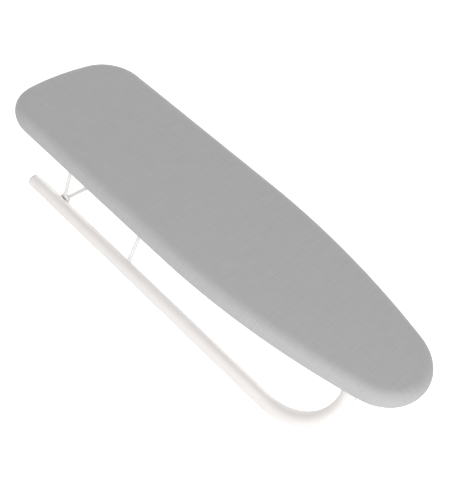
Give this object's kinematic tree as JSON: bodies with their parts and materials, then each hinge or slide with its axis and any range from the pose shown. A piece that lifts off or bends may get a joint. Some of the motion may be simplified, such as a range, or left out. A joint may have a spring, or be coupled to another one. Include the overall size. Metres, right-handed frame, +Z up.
{
  "type": "sleeve ironing board",
  "caption": "Small padded board with a rounded nose on a bent-tube base, for ironing sleeves on a table; a wire prop under its blunt end folds down.",
  "frame": {"origin": "on the table, under the middle of the board's bounding box", "axes": "+X towards the rounded nose, +Y to the left seen from above with the nose ahead, +Z up"},
  "size_m": [0.6, 0.182, 0.14],
  "materials": {
    "cover_cloth": "woven cotton, plain weave, matt grey",
    "felt": "needled felt, off-white",
    "foam": "open-cell foam, cream",
    "elastic": "knitted elastic tape, grey",
    "plate_coat": "powder-coated sheet steel, light grey",
    "frame_coat": "powder-coated steel tube, off-white, semi-gloss",
    "wire_coat": "powder-coated steel wire and washers, off-white, semi-gloss",
    "cap_plastic": "moulded polyethylene, dark grey",
    "sleeve_plastic": "extruded polyethylene sleeve, off-white",
    "zinc_plate": "zinc-plated steel",
    "pad_rubber": "soft moulded rubber, off-white"
  },
  "bodies": {
    "base": {"cover": "cover_cloth", "felt_layer": "felt", "foam_pad": "foam", "hem_elastic": "elastic", "board_plate": "plate_coat", "rear_rail": "plate_coat", "frame_tube": "frame_coat", "end_cap_left": "cap_plastic", "end_cap_right": "cap_plastic", "saddle_front": "zinc_plate", "saddle_rear": "zinc_plate", "saddle_screws": "zinc_plate", "saddle_nuts": "zinc_plate", "cross_bar": "wire_coat", "bar_rivets": "frame_coat", "bar_retainers": "wire_coat", "prop_hook": "zinc_plate", "hook_rivets": "zinc_plate", "brace_bow": "wire_coat", "bow_strap": "zinc_plate", "bow_screws": "zinc_plate", "bow_nuts": "zinc_plate", "foot_pads": "pad_rubber"},
    "prop": {"prop_wire": "wire_coat", "prop_sleeve": "sleeve_plastic"}
  },
  "joints": [
    {"name": "prop_fold", "type": "hinge", "parent": "base", "child": "prop", "pos_m": [-0.21, 0, 0.0106], "axis": [0, 1, 0], "range_deg": [0, 92]}
  ]
}
